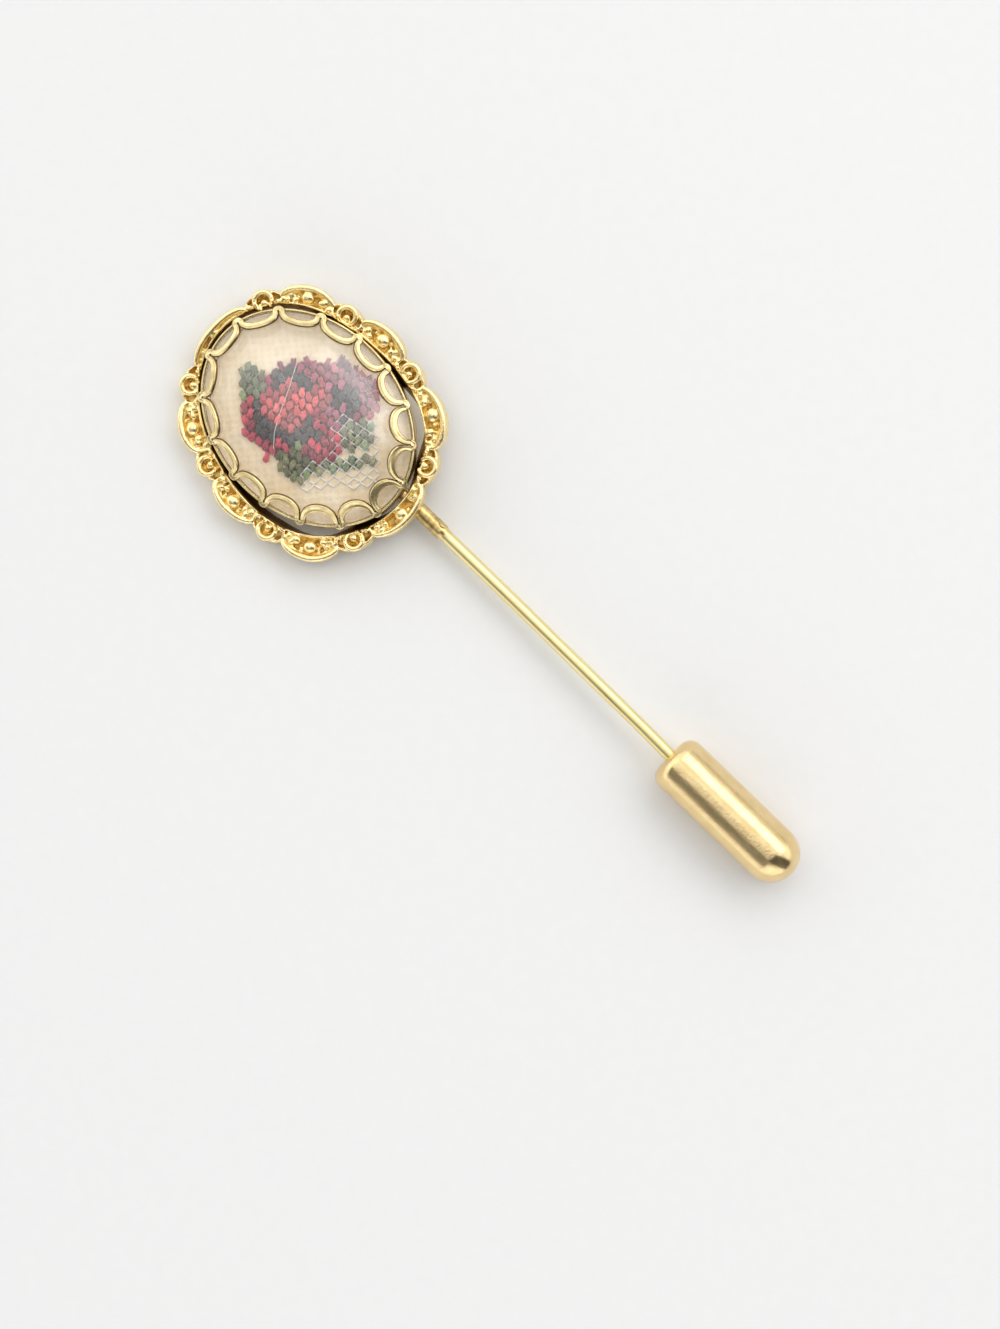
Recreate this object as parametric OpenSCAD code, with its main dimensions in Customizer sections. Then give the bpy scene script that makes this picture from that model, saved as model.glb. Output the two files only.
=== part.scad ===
// Stick pin: stitched cloth under domed glass, in a lace-edge cup and a cast scalloped frame.
// The wire runs along X, the head at -X and the clutch at +X, lying on the plane z = 0.

/* [Glass] */
// Length of the oval glass, along the wire
glass_len = 19; // [15:0.5:26]
// Width of the oval glass
glass_wid = 15; // [12:0.5:20]
// Height of the straight girdle round the glass
glass_edge = 0.8; // [0.5:0.1:1.5]
// Rise of the dome above its girdle
glass_rise = 2.0; // [1:0.1:3.5]
// Thickness of the glass
glass_wall = 0.7; // [0.5:0.05:1]

/* [Cloth] */
// Thickness of the cloth and its backing at the rim
cloth_t = 0.8; // [0.5:0.1:1.2]
// Rise of the padded cloth in its middle
cloth_rise = 0.35; // [0.1:0.05:0.6]

/* [Bezel cup] */
// Wall thickness of the cup
cup_wall = 0.35; // [0.25:0.05:0.6]
// Thickness of the cup floor
cup_floor = 0.45; // [0.3:0.05:0.8]
// Loops in the lace edge
loops = 16; // [12:1:20]
// Width of the band that forms a loop
lace_band = 0.72; // [0.5:0.02:0.9]
// Thickness of the band
lace_t = 0.32; // [0.2:0.02:0.45]
// Reach of a loop over the glass, from the wall to its crown
lace_reach = 1.9; // [1.3:0.1:2.4]

/* [Cast frame] */
// Width of the frame at its two ends
band_end = 1.05; // [0.8:0.05:2]
// Width of the frame at its two sides
band_side = 1.85; // [1.2:0.05:3]
// Space between the cup and the frame
frame_gap = 0.27; // [0.1:0.01:0.5]
// Distance of the cup from the middle of the frame, away from the wire
cup_shift = 0.2; // [0:0.05:0.3]
// Squareness of the frame's outline, 2 is a plain ellipse
squareness = 2.33; // [2.1:0.01:2.8]
// Squareness of the frame's bore
bore_square = 2.2; // [2:0.01:2.5]
// Pairs of one large scallop and one small cup
lobe_pairs = 8; // [6:1:10]
// Depth of the notches between the lobes
notch = 0.62; // [0.2:0.02:0.9]
// Height of the rim over the back of the frame
rim_h = 1.8; // [1.3:0.1:2.6]
// Depth of the hollow inside the rim
hollow = 0.75; // [0.3:0.05:1]
// Radius of the pearl in a large scallop
pearl_r = 0.46; // [0.25:0.02:0.6]

/* [Wire] */
// Diameter of the wire
wire_d = 1.1; // [0.8:0.05:1.4]
// Wall of the soldered sleeve round the wire, where it meets the head
sleeve_wall = 0.11; // [0.05:0.01:0.4]
// Depth of the sleeve's seat in the back of the head
sleeve_sunk = 0.21; // [0.1:0.01:0.3]
// Length of the sleeve outside the frame
sleeve_out = 2.4; // [1:0.1:5]
// Length of the sleeve under the head, past the middle
sleeve_in = 3; // [0:0.5:6]
// Distance from the middle of the head to the wire, sideways
wire_aside = 0.6; // [-1.5:0.1:1.5]
// Free length of the wire, from the frame to the clutch
wire_free = 28; // [15:1:50]
// Length of the ground point that stays clear of the mouth of the clutch
point_clear = 0.3; // [0.1:0.1:2]
// Diameter of the blunted tip
tip_d = 0.2; // [0.1:0.02:0.4]

/* [Clutch] */
// Length of the clutch
clutch_len = 14; // [12:0.5:18]
// Diameter of the clutch
clutch_d = 4.7; // [3.6:0.1:6]
// Solid metal from the bottom of its bore to its tip
tip_wall = 3.3; // [1.5:0.1:5]
// Empty depth of the bore past the point of the wire
bore_extra = 1.2; // [0.4:0.1:2]
// Radius of the edge round the mouth of the clutch
mouth_r = 1.1; // [0.5:0.1:1.5]
// Running clearance round the wire
wire_clear = 0.05; // [0.02:0.01:0.09]

/* [Pose] */
// Turn of the head on the wire, degrees
head_turn = 1.5; // [-5:0.5:5]

/* [Hidden] */

// Clearance between the glass and the metal, and between the glass and the cloth
seat_gap = 0.05;
// Depth by which soldered pieces run into each other
solder = 0.15;
// Length by which a cut runs past the face that it opens
cut_past = 1;
// Facets round an oval, round an exact turned shape, and round a small cast bead
oval_n = 64;
turn_n = 64;
bead_n = 10;

// Half axes of the ovals, from the glass outwards
glass_h = [glass_len, glass_wid] / 2;
cup_in = add(glass_h, seat_gap);
cup_out = add(cup_in, cup_wall);
frame_in = add(cup_out, frame_gap);
frame_out = [frame_in.x + band_end, frame_in.y + band_side];

// Heights in the head, measured from its back
cloth_z = cup_floor + seat_gap;
girdle_z = cloth_z + cloth_t + seat_gap;
dome_z = girdle_z + glass_edge;

// Bounds of the wire, measured from the middle of the head
sleeve_end = frame_out.x + sleeve_out;
mouth_x = frame_out.x + wire_free;
wire_held = clutch_len - tip_wall - bore_extra;
tip_x = mouth_x + wire_held;
point_len = wire_held + point_clear;
wire_r = wire_d / 2;
sleeve_r = wire_r + sleeve_wall;
wire_drop = sleeve_r - sleeve_sunk;
clutch_r = clutch_d / 2;

function add(oval, d) = [oval.x + d, oval.y + d];
function sq(v) = v * v;

// Radius at angle a of an oval with half axes h and squareness n
function oval_r(h, a, n = 2) = pow(pow(abs(cos(a)) / h.x, n) + pow(abs(sin(a)) / h.y, n), -1 / n);
// Angle of a point of an oval, for which equal steps of u give equal lengths along its edge
function even(h, u) = u + 90 / PI * (h.x - h.y) / (h.x + h.y) * sin(2 * u);
function oval_pts(h, n = oval_n) = [for (i = [0:n - 1]) [h.x * cos(360 * i / n), h.y * sin(360 * i / n)]];

// Faces of a closed skin made of rings with n points each
function cap(n, from, flip) = [[for (i = [0:n - 1]) from + (flip ? n - 1 - i : i)]];
function belt(n, rings, wrap = false) = [
    for (r = [0:(wrap ? rings - 1 : rings - 2)])
        for (i = [0:n - 1])
            let (a = r * n + i, b = r * n + (i + 1) % n, s = ((r + 1) % rings) * n)
                each [[a, s + (i + 1) % n, b], [a, s + i, s + (i + 1) % n]]
];

// Skin through horizontal ovals, one row [scale x, scale y, z] for each
module oval_skin(rows) {
    n = oval_n;
    pts = [for (r = rows) each [for (p = oval_pts([r.x, r.y])) [p.x, p.y, r.z]]];
    polyhedron(pts, concat(cap(n, 0, false), belt(n, len(rows)), cap(n, (len(rows) - 1) * n, true)));
}

// Share of the way from the middle of an oval out to its edge
function share_of(h, p) = norm([p.x / h.x, p.y / h.y]);

// Height of the outside of the dome above its girdle, at share q of the way out
dome_power = 2.4;
function dome_rise(q, rise) = rise * (1 - pow(min(q, 1), dome_power));

// Shares of the half axes at which the dome, hollow and cloth are sectioned
dome_steps = [0.95, 0.87, 0.74, 0.56, 0.34, 0.12];

// Scallops: angle to the middle of the nearest lobe, its half span, and the share of the way across it
lobe_step = 360 / lobe_pairs;
large_half = 0.315 * lobe_step;
small_half = lobe_step / 2 - large_half;
function fold(a) = a - lobe_step * round(a / lobe_step);
function in_large(a) = abs(fold(a)) <= large_half;
function across(a) = in_large(a) ? fold(a) / large_half : fold(a + lobe_step / 2) / small_half;
function arch(a) = sqrt(max(0, 1 - sq(across(a))));

// Outline of the frame: a squarish oval, less the notches, with the small cups a little shorter
small_short = 0.25;
function crest_r(a) = oval_r(frame_out, a, squareness);
function rim_r(a) = crest_r(a) - notch * (1 - arch(a)) - (in_large(a) ? 0 : small_short * arch(a));
function bore_r(a) = oval_r(frame_in, a, bore_square);

// Stations round the frame: their angles as shares of each lobe
large_cuts = [-1, -0.93, -0.78, -0.55, -0.28, 0, 0.28, 0.55, 0.78, 0.93];
small_cuts = [-1, -0.85, -0.5, 0, 0.5, 0.85];
stations = [
    for (i = [0:lobe_pairs - 1])
        each concat([for (c = large_cuts) i * lobe_step + c * large_half],
                    [for (c = small_cuts) (i + 0.5) * lobe_step + c * small_half])
];

// Section of the frame at angle a, from the inner edge of its back round to the outer edge.
// Each row is a share of the width, a share of the rim's height and a share of the hollow's depth.
rim_rows = [[0, 0, 0], [0, 0.66, 0], [0.1, 0.74, 0], [0.22, 0.66, 0.35], [0.4, 0.88, 1],
            [0.58, 0.92, 0.95], [0.72, 0.97, 0.35], [0.82, 1, 0], [0.91, 0.93, 0], [0.97, 0.6, 0], [1, 0, 0]];
// Height of the rim in a notch and at the crest of a lobe, as shares; depth of the hollow in the same places
rim_low = 0.78;
hollow_low = 0.35;
function section(a) =
    let (r0 = bore_r(a), w = rim_r(a) - r0,
         h = rim_h * (rim_low + (1 - rim_low) * arch(a)),
         d = hollow * (hollow_low + (1 - hollow_low) * arch(a)))
    [for (s = rim_rows) [r0 + s.x * w, h * s.y - d * s.z]];

frame_skin = [for (a = stations) each [for (s = section(a)) [s.x * cos(a), s.x * sin(a), s.y]]];

module frame_ring() {
    polyhedron(frame_skin, belt(len(rim_rows), len(stations), true));
}

// A pearl with a nub on each flank in the large scallops, and a bead in the small cups
flank_r = 0.6;
flank_at = 0.58;
cup_bead_r = 0.8;
module frame_beads() {
    for (i = [0:lobe_pairs - 1]) {
        bead(i * lobe_step, pearl_r, bead_n);
        for (side = [-1, 1]) bead(i * lobe_step + side * flank_at * large_half, pearl_r * flank_r, bead_n - 2);
        bead((i + 0.5) * lobe_step, pearl_r * cup_bead_r, bead_n);
    }
}

module bead(a, r, n) {
    rotate(a) translate([(bore_r(a) + rim_r(a)) / 2, 0, rim_h - hollow]) sphere(r, $fn = n);
}

// Solder tabs from the floor of the cup to the small cups of the frame
tab_w = 1.1;
module frame_tabs() {
    for (i = [0:lobe_pairs - 1]) {
        a = (i + 0.5) * lobe_step;
        reach = [oval_r(cup_in, a) - cup_shift - solder, bore_r(a) + solder];
        hull() for (r = reach)
            rotate(a) translate([r, 0, cup_floor / 2]) cube([solder, tab_w, cup_floor], center = true);
    }
}

module cup() {
    difference() {
        linear_extrude(dome_z - seat_gap) polygon(oval_pts(cup_out));
        translate([0, 0, cup_floor]) linear_extrude(dome_z) polygon(oval_pts(cup_in));
    }
}

// A loop is a band swept over the dome along a half ring in plan, with a foot in the wall at each end.
// t runs from 0 to 180 along the ring; u places the middle of the loop along the edge of the oval.
loop_step = 360 / loops;
lace_cuts = 10;
// Space between two loops at the wall, as the last cut leaves it
loop_apart = 0.08;
loop_pitch = PI * (cup_in.x + cup_in.y) / loops;
loop_half = loop_step / 2 * (1 - (lace_band + loop_apart) / loop_pitch);
// Way from the end of a loop down to its foot
foot = [0, 0, -0.9];
function lace_at(u, t) =
    let (b = even(cup_in, u + loop_half * cos(t)),
         h = add(cup_in, lace_t / 2 - (lace_reach - lace_band / 2) * sin(t)),
         p = [h.x * cos(b), h.y * sin(b)])
    [p.x, p.y, dome_z + dome_rise(share_of(glass_h, p), glass_rise) + (seat_gap + lace_t / 2) / dome_normal(p).z];
function unit(v) = v / norm(v);
function dome_slope(q) = glass_rise * dome_power * pow(min(q, 1), dome_power - 2);
function dome_normal(p) =
    unit([p.x / sq(glass_h.x), p.y / sq(glass_h.y), 1 / dome_slope(share_of(glass_h, p))]);
function wall_normal(p) = unit([p.x / sq(glass_h.x), p.y / sq(glass_h.y), 0]);
// Corners of the band at p, running along the given way, as much upright as the wall as w says
function lace_section(p, along, w) =
    let (up = unit(dome_normal(p) * (1 - w) + wall_normal(p) * w),
         side = unit(cross(up, along)) * lace_band / 2,
         lift = up * lace_t / 2)
    [p - side - lift, p + side - lift, p + side + lift, p - side + lift];

module lace_loop(u) {
    mid = [for (i = [0:lace_cuts]) lace_at(u, 180 * i / lace_cuts)];
    ways = [for (i = [0:lace_cuts])
        i == 0 ? -foot : i == lace_cuts ? foot : mid[i + 1] - mid[i - 1]];
    rings = [for (i = [0:lace_cuts])
        lace_section(mid[i], ways[i], pow(1 - sin(180 * i / lace_cuts), 3))];
    rows = concat([[for (p = rings[0]) p + foot]], rings, [[for (p = rings[lace_cuts]) p + foot]]);
    last = len(rows) - 1;
    polyhedron([for (r = rows) each r], concat(cap(4, 0, false), belt(4, last + 1), cap(4, last * 4, true)));
}

// Upright neck between two loops, from the wall to the bend
neck_w = 1.05;
neck_t = 0.8 * lace_t;
module lace_neck(u) {
    h = add(cup_in, lace_t / 2);
    p = [h.x * cos(even(cup_in, u)), h.y * sin(even(cup_in, u))];
    n = wall_normal(p);
    translate([p.x, p.y, dome_z + foot.z / 2]) rotate(atan2(n.y, n.x))
        translate([-neck_t / 2, -neck_w / 2, 0]) cube([neck_t, neck_w, lace_t + seat_gap - foot.z / 2]);
}

module lace() {
    for (i = [0:loops - 1]) {
        lace_loop(i * loop_step);
        lace_neck((i + 0.5) * loop_step);
    }
}

// The sleeve is measured from the middle of the head, on the wire's axis
module sleeve() {
    translate([-sleeve_in, 0, 0]) rotate([0, 90, 0]) cylinder(h = sleeve_in + sleeve_end, r = sleeve_r, $fn = 24);
}

module wire() {
    start = sleeve_end - solder * 2;
    rotate([0, 90, 0]) {
        translate([0, 0, start]) cylinder(h = tip_x - point_len - start, r = wire_r, $fn = turn_n);
        translate([0, 0, tip_x - point_len]) cylinder(h = point_len, r1 = wire_r, r2 = tip_d / 2, $fn = turn_n);
    }
}

// Rest pose: the head's far sleeve end, the mouth edge of the clutch and one lobe touch the plane
pitch_run = mouth_x + mouth_r + sleeve_in;
pitch_fall = clutch_r - mouth_r - sleeve_r;
pitch = atan2(pitch_fall, pitch_run) + asin(mouth_r / norm([pitch_run, pitch_fall]));
axis_z = sleeve_in * sin(pitch) + sleeve_r * cos(pitch);

// A point of the head, from its own frame to the frame of the wire
function on_wire(p) =
    [p.x * cos(head_turn) - p.y * sin(head_turn),
     p.x * sin(head_turn) + p.y * cos(head_turn) - wire_aside,
     p.z + wire_drop];
// Roll at which a point on the low side meets the plane; points near the wire never do
near_wire = 4 * sleeve_r;
never = 90;
function roll_at(q) =
    let (room = (axis_z + q.x * sin(pitch)) / cos(pitch), arm = norm([q.y, q.z]))
    q.y < -near_wire ? atan2(q.z, -q.y) + asin(min(1, room / arm)) : never;
roll = min([for (p = frame_skin) roll_at(on_wire(p))]);

// A point of the head at rest, before the part is centred on the origin
function at_rest(p) =
    let (q = on_wire(p), y = q.y * cos(roll) - q.z * sin(roll), z = q.y * sin(roll) + q.z * cos(roll))
    [q.x * cos(pitch) - z * sin(pitch), y];
rested = [for (p = frame_skin) at_rest(p)];
far_x = (mouth_x + clutch_len - clutch_r) * cos(pitch) + clutch_r;
centre = [(min([for (p = rested) p.x]) + far_x) / 2,
          (min([for (p = rested) p.y]) + max([for (p = rested) p.y])) / 2];

// Along the wire's own axis, at rest
module wire_pose() {
    translate([-centre.x, -centre.y, axis_z]) rotate([0, -pitch, 0]) children();
}

module head_pose() {
    wire_pose() rotate([roll, 0, 0]) translate([0, -wire_aside, wire_drop]) rotate(head_turn) children();
}

module cup_pose() {
    head_pose() translate([-cup_shift, 0, 0]) children();
}

module cast_setting() {
    color("gold") {
        head_pose() {
            frame_ring();
            frame_beads();
            frame_tabs();
        }
        cup_pose() {
            cup();
            lace();
        }
        wire_pose() sleeve();
    }
}

module pin_wire() {
    color("gold") wire_pose() wire();
}

module domed_glass() {
    outer = concat([[1, girdle_z], [1, dome_z]], [for (q = dome_steps) [q, dome_z + dome_rise(q, glass_rise)]]);
    color([0.85, 0.92, 0.95, 0.4]) cup_pose() difference() {
        oval_skin([for (r = outer) [glass_h.x * r.x, glass_h.y * r.x, r.y]]);
        glass_hollow();
    }
}

// The hollow under the dome, clear of the padded cloth
module glass_hollow() {
    in = add(glass_h, -glass_wall);
    top = dome_z - glass_wall;
    rows = concat([[1, girdle_z - cut_past], [1, top]],
                  [for (q = dome_steps) [q, top + dome_rise(q, glass_rise)]]);
    oval_skin([for (r = rows) [in.x * r.x, in.y * r.x, r.y]]);
}

module petit_point() {
    rim = add(glass_h, -seat_gap);
    pad = add(glass_h, -glass_wall - seat_gap * 2);
    top = cloth_z + cloth_t;
    rows = concat([[rim.x, rim.y, cloth_z], [rim.x, rim.y, top]],
                  [for (q = [1, 0.84, 0.6, 0.3]) [pad.x * q, pad.y * q, top + cloth_rise * (1 - q * q)]]);
    color("linen") cup_pose() oval_skin(rows);
}

// Outline of the turned clutch, then its drilled bore
arc_n = 12;
module bullet_clutch() {
    edge = [for (i = [0:arc_n / 2]) let (t = 180 * i / arc_n)
        [clutch_r - mouth_r * (1 - sin(t)), mouth_r * (1 - cos(t))]];
    nose = [for (i = [0:arc_n]) let (t = 90 * i / arc_n)
        [clutch_r * cos(t), clutch_len - clutch_r * (1 - sin(t))]];
    color("goldenrod") wire_pose() translate([mouth_x, 0, 0]) rotate([0, 90, 0]) difference() {
        rotate_extrude($fn = turn_n) polygon(concat([[0, 0]], edge, nose));
        translate([0, 0, -cut_past])
            cylinder(h = cut_past + wire_held + bore_extra, r = wire_r + wire_clear, $fn = turn_n);
    }
}

cast_setting();  // setting
pin_wire();  // setting
domed_glass();
petit_point();
bullet_clutch();
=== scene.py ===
import random
from math import atan2, cos, degrees, dist, hypot, pi, radians, sin, sqrt

import bmesh
import bpy
import numpy as np
from mathutils import Matrix, Vector, noise


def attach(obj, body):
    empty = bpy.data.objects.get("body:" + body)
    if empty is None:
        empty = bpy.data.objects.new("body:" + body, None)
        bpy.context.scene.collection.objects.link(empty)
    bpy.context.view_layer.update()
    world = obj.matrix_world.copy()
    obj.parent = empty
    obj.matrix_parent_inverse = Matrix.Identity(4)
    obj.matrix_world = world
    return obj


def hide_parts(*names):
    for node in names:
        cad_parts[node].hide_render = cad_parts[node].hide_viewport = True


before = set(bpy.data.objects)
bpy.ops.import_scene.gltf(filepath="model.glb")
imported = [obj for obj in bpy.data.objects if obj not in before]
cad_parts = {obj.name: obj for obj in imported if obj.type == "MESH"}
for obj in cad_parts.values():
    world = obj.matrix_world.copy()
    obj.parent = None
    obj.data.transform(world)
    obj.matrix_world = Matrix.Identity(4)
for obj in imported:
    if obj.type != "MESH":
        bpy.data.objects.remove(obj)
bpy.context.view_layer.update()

mm = 0.001

# The pieces are modelled in millimetres on the bench, then laid down where the CAD part lies.
lying = {
    "pitch": 2.2352,  # slope of the wire, degrees
    "roll": 6.0134,  # roll of the head about the wire
    "headTurn": 1.5,  # turn of the head on the wire
    "centre": (20.9747, -0.672824),
    "axisHeight": 0.776503,
    "wireAside": 0.6,
    "wireDrop": 0.45,
    "cupShift": (-0.42, 0.2),  # the cup sits this far from the frame's middle
    "cupTurn": -4.0,
}


def turned(angle, axis):
    return Matrix.Rotation(radians(angle), 4, axis)


def moved(x, y, z):
    return Matrix.Translation((x, y, z))


alongWire = (moved(-lying["centre"][0], -lying["centre"][1], lying["axisHeight"])
             @ turned(-lying["pitch"], "Y"))
inHead = (alongWire @ turned(lying["roll"], "X") @ moved(0, -lying["wireAside"], lying["wireDrop"])
          @ turned(lying["headTurn"], "Z"))
inCup = inHead @ moved(*lying["cupShift"], 0) @ turned(lying["cupTurn"], "Z")
# the canvas was laid in askew to the cup
inCanvas = inHead @ moved(-0.3, -0.1, 0)


# Work at the bench

def deselectAll():
    if bpy.context.object and bpy.context.object.mode != "OBJECT":
        bpy.ops.object.mode_set(mode="OBJECT")
    bpy.ops.object.select_all(action="DESELECT")


def begun(add, **settings):
    deselectAll()
    add(**settings)
    return bpy.context.object


def pick(*pieces):
    deselectAll()
    for piece in pieces:
        piece.select_set(True)
    bpy.context.view_layer.objects.active = pieces[0]
    return pieces[0]


def named(piece, name):
    piece.name = name
    piece.data.name = name
    return piece


def finishWith(piece, kind, **settings):
    pick(piece)
    modifier = piece.modifiers.new(kind.lower(), kind)
    for setting, value in settings.items():
        setattr(modifier, setting, value)
    bpy.ops.object.modifier_apply(modifier=modifier.name)
    return piece


def joined(name, pieces):
    pick(*pieces)
    bpy.ops.object.join()
    return named(bpy.context.object, name)


def copied(piece, where):
    twin = piece.copy()
    twin.data = piece.data.copy()
    twin.data.transform(where)
    bpy.context.collection.objects.link(twin)
    return twin


def cleaned(piece, gap=0.001):
    pick(piece)
    bpy.ops.object.mode_set(mode="EDIT")
    bpy.ops.mesh.select_all(action="SELECT")
    bpy.ops.mesh.remove_doubles(threshold=gap)
    bpy.ops.mesh.normals_make_consistent(inside=False)
    bpy.ops.object.mode_set(mode="OBJECT")
    return piece


def extrudedRings(name, count, rows, spot):
    # A circle is extruded ring by ring. Rows drawn to one point, or back to the first, close the skin.
    piece = named(begun(bpy.ops.mesh.primitive_circle_add, vertices=count, radius=1), name)
    bpy.ops.object.mode_set(mode="EDIT")
    skin = bmesh.from_edit_mesh(piece.data)
    turn = skin.verts.layers.float.new("turn")
    for point in skin.verts:
        point[turn] = degrees(atan2(point.co.y, point.co.x))
    for number, row in enumerate(rows):
        if number:
            bpy.ops.mesh.extrude_edges_move()
        skin = bmesh.from_edit_mesh(piece.data)
        turn = skin.verts.layers.float["turn"]
        for point in skin.verts:
            if point.select:
                point.co = spot(point[turn], row)
        bmesh.update_edit_mesh(piece.data)
    return cleaned(piece)


def bentRod(spots, radii, roundness=2, closed=False):
    rod = begun(bpy.ops.curve.primitive_nurbs_path_add)
    rod.data.splines.clear()
    line = rod.data.splines.new("POLY")
    line.points.add(len(spots) - 1)
    for point, spot, radius in zip(line.points, spots, radii):
        point.co = (*spot, 1)
        point.radius = radius
    line.use_cyclic_u = closed
    rod.data.bevel_depth = 1
    rod.data.bevel_resolution = roundness
    rod.data.use_fill_caps = not closed
    bpy.ops.object.convert(target="MESH")
    return bpy.context.object


def laidDown(piece, finish, where, replaces=(), angle=None, body="head"):
    piece.data.materials.append(finish.material)
    piece.data.transform(Matrix.Scale(mm, 4) @ where)
    piece.data.update()
    pick(piece)
    if angle is None:
        bpy.ops.object.shade_smooth()
    else:
        bpy.ops.object.shade_smooth_by_angle(angle=radians(angle))
    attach(piece, body)
    if replaces:
        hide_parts(*replaces)
    return piece


def giveNumbers(piece, name, values):
    layer = piece.data.attributes.new(name, "FLOAT", "POINT")
    layer.data.foreach_set("value", np.asarray(values, np.float32))


def giveColours(piece, name, values):
    layer = piece.data.color_attributes.new(name, "FLOAT_COLOR", "POINT")
    layer.data.foreach_set("color", np.array(values, np.float32).ravel())


def pointsOf(piece, what="co"):
    values = np.zeros(len(piece.data.vertices) * 3)
    piece.data.vertices.foreach_get(what, values)
    return values.reshape(-1, 3)


def cavities(piece, rounds, depth):
    # How far each point lies under its smoothed surroundings: 1 in a hollow, -1 on a ridge
    spots, normals = pointsOf(piece), pointsOf(piece, "normal")
    edges = np.zeros(len(piece.data.edges) * 2, int)
    piece.data.edges.foreach_get("vertices", edges)
    a, b = edges.reshape(-1, 2).T
    degree = np.bincount(a, minlength=len(spots)) + np.bincount(b, minlength=len(spots))
    soft = spots.copy()
    for _ in range(rounds):
        for axis in range(3):
            total = np.bincount(a, soft[b, axis], len(spots)) + np.bincount(b, soft[a, axis], len(spots))
            soft[:, axis] = total / np.maximum(degree, 1)
    return np.clip(((soft - spots) * normals).sum(1) / depth, -1, 1)


# Ovals, angles in degrees

def ovalRadius(half, angle, squareness=2.0):
    a = radians(angle)
    return ((abs(cos(a)) / half[0]) ** squareness
            + (abs(sin(a)) / half[1]) ** squareness) ** (-1 / squareness)


def evenTurn(half, turn):
    # equal steps of turn give equal lengths along the edge
    return turn + 90 / pi * (half[0] - half[1]) / (half[0] + half[1]) * sin(radians(2 * turn))


def grown(half, by):
    return half[0] + by, half[1] + by


def atAngle(radius, angle, height):
    a = radians(angle)
    return Vector((radius * cos(a), radius * sin(a), height))


# Finishes

class Finish:
    # a material with its shader, and short ways to add and join nodes
    def __init__(self, name):
        self.material = bpy.data.materials.new(name)
        self.material.use_nodes = True
        self.tree = self.material.node_tree
        self.shader = self.tree.nodes["Principled BSDF"]

    def add(self, kind, **values):
        node = self.tree.nodes.new("ShaderNode" + kind)
        for name, value in values.items():
            if name in node.bl_rna.properties:
                setattr(node, name, value)
            else:
                node.inputs[name.replace("_", " ")].default_value = value
        return node

    def join(self, output, target):
        self.tree.links.new(output, target)

    def drive(self, name, output):
        self.join(output, self.shader.inputs[name])

    def fix(self, values):
        for name, value in values.items():
            self.shader.inputs[name].default_value = value

    def ramp(self, source, stops):
        node = self.add("ValToRGB")
        while len(node.color_ramp.elements) < len(stops):
            node.color_ramp.elements.new(0.5)
        for element, (place, colour) in zip(node.color_ramp.elements, stops):
            element.position = place
            element.color = (*colour, 1)
        self.join(source, node.inputs["Fac"])
        return node.outputs["Color"]

    def grain(self, scale, detail=3, roughness=0.55, stretch=(1, 1, 1)):
        # noise on Object coordinates, scale in features per millimetre
        place = self.add("TexCoord")
        mapping = self.add("Mapping")
        mapping.inputs["Scale"].default_value = stretch
        noiseNode = self.add("TexNoise", Scale=scale / mm, Detail=detail, Roughness=roughness)
        self.join(place.outputs["Object"], mapping.inputs["Vector"])
        self.join(mapping.outputs["Vector"], noiseNode.inputs["Vector"])
        return noiseNode.outputs["Fac"]

    def between(self, source, low, high, fromLow=0.3, fromHigh=0.7):
        node = self.add("MapRange")
        limits = {"From Min": fromLow, "From Max": fromHigh, "To Min": low, "To Max": high}
        for name, value in limits.items():
            node.inputs[name].default_value = value
        self.join(source, node.inputs["Value"])
        return node.outputs["Result"]

    def relief(self, height, depth, onto=None):
        node = self.add("Bump", Strength=1.0, Distance=depth * mm)
        self.join(height, node.inputs["Height"])
        if onto is not None:
            self.join(onto, node.inputs["Normal"])
        return node.outputs["Normal"]

    def mixed(self, factor, first, second, kind="MIX"):
        node = self.add("MixRGB", blend_type=kind)
        for source, target in ((factor, "Fac"), (first, "Color1"), (second, "Color2")):
            if isinstance(source, (int, float)):
                node.inputs[target].default_value = source
            elif isinstance(source, tuple):
                node.inputs[target].default_value = (*source, 1)
            else:
                self.join(source, node.inputs[target])
        return node.outputs["Color"]

    def attribute(self, name, output="Fac"):
        return self.add("Attribute", attribute_name=name).outputs[output]


# Camera, floor and light

camera = {
    "place": (0.003575, -0.003434, 0.230),
    "turn": (0.0403, 0.0513, 44.027),  # degrees, straight down
    "lens": 76.73,
}
cameraData = bpy.data.cameras.new("camera")
cameraObject = bpy.data.objects.new("camera", cameraData)
bpy.context.collection.objects.link(cameraObject)
cameraObject.location = camera["place"]
cameraObject.rotation_euler = [radians(a) for a in camera["turn"]]
cameraData.lens = camera["lens"]
cameraData.sensor_width = 36
cameraData.clip_start = 0.01
cameraData.clip_end = 20
bpy.context.scene.camera = cameraObject

studio = {
    "floorSize": 6.0,
    "floorColour": (0.850, 0.854, 0.862),
    "keyFromZenith": 40,  # degrees, towards +Y
    "keyDistance": 0.6,
    "keySize": (0.6, 0.32),
    "keyRadiance": 1.5,
    "ceiling": 1.07,
    "horizon": 1.03,
    "ends": 0.43,  # more light from both ends of the wire, from endsFrom on over endsSoft degrees
    "endsFrom": 22.0,
    "endsSoft": 26.0,
    "strip": 0.27,  # a brighter strip of the ceiling
    # first and last angle and the softness of each, in degrees across or along the wire
    "stripAcross": (-5, 13, 5),
    "standAcross": (-68, -27, 13),
    "standAlong": (-50, 22, 14),
    "wallAcross": (72, 100, 8),
    "wallShade": 0.5,
    "ground": 0.9,
    "shade": 0.25,  # left where the camera's stand blocks the light
    "cameraAt": (0.52, -0.08),  # where the camera itself is mirrored, its turn and half size
    "cameraTurn": 34.6,
    "cameraHalf": (0.66, 0.36),
}


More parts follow.
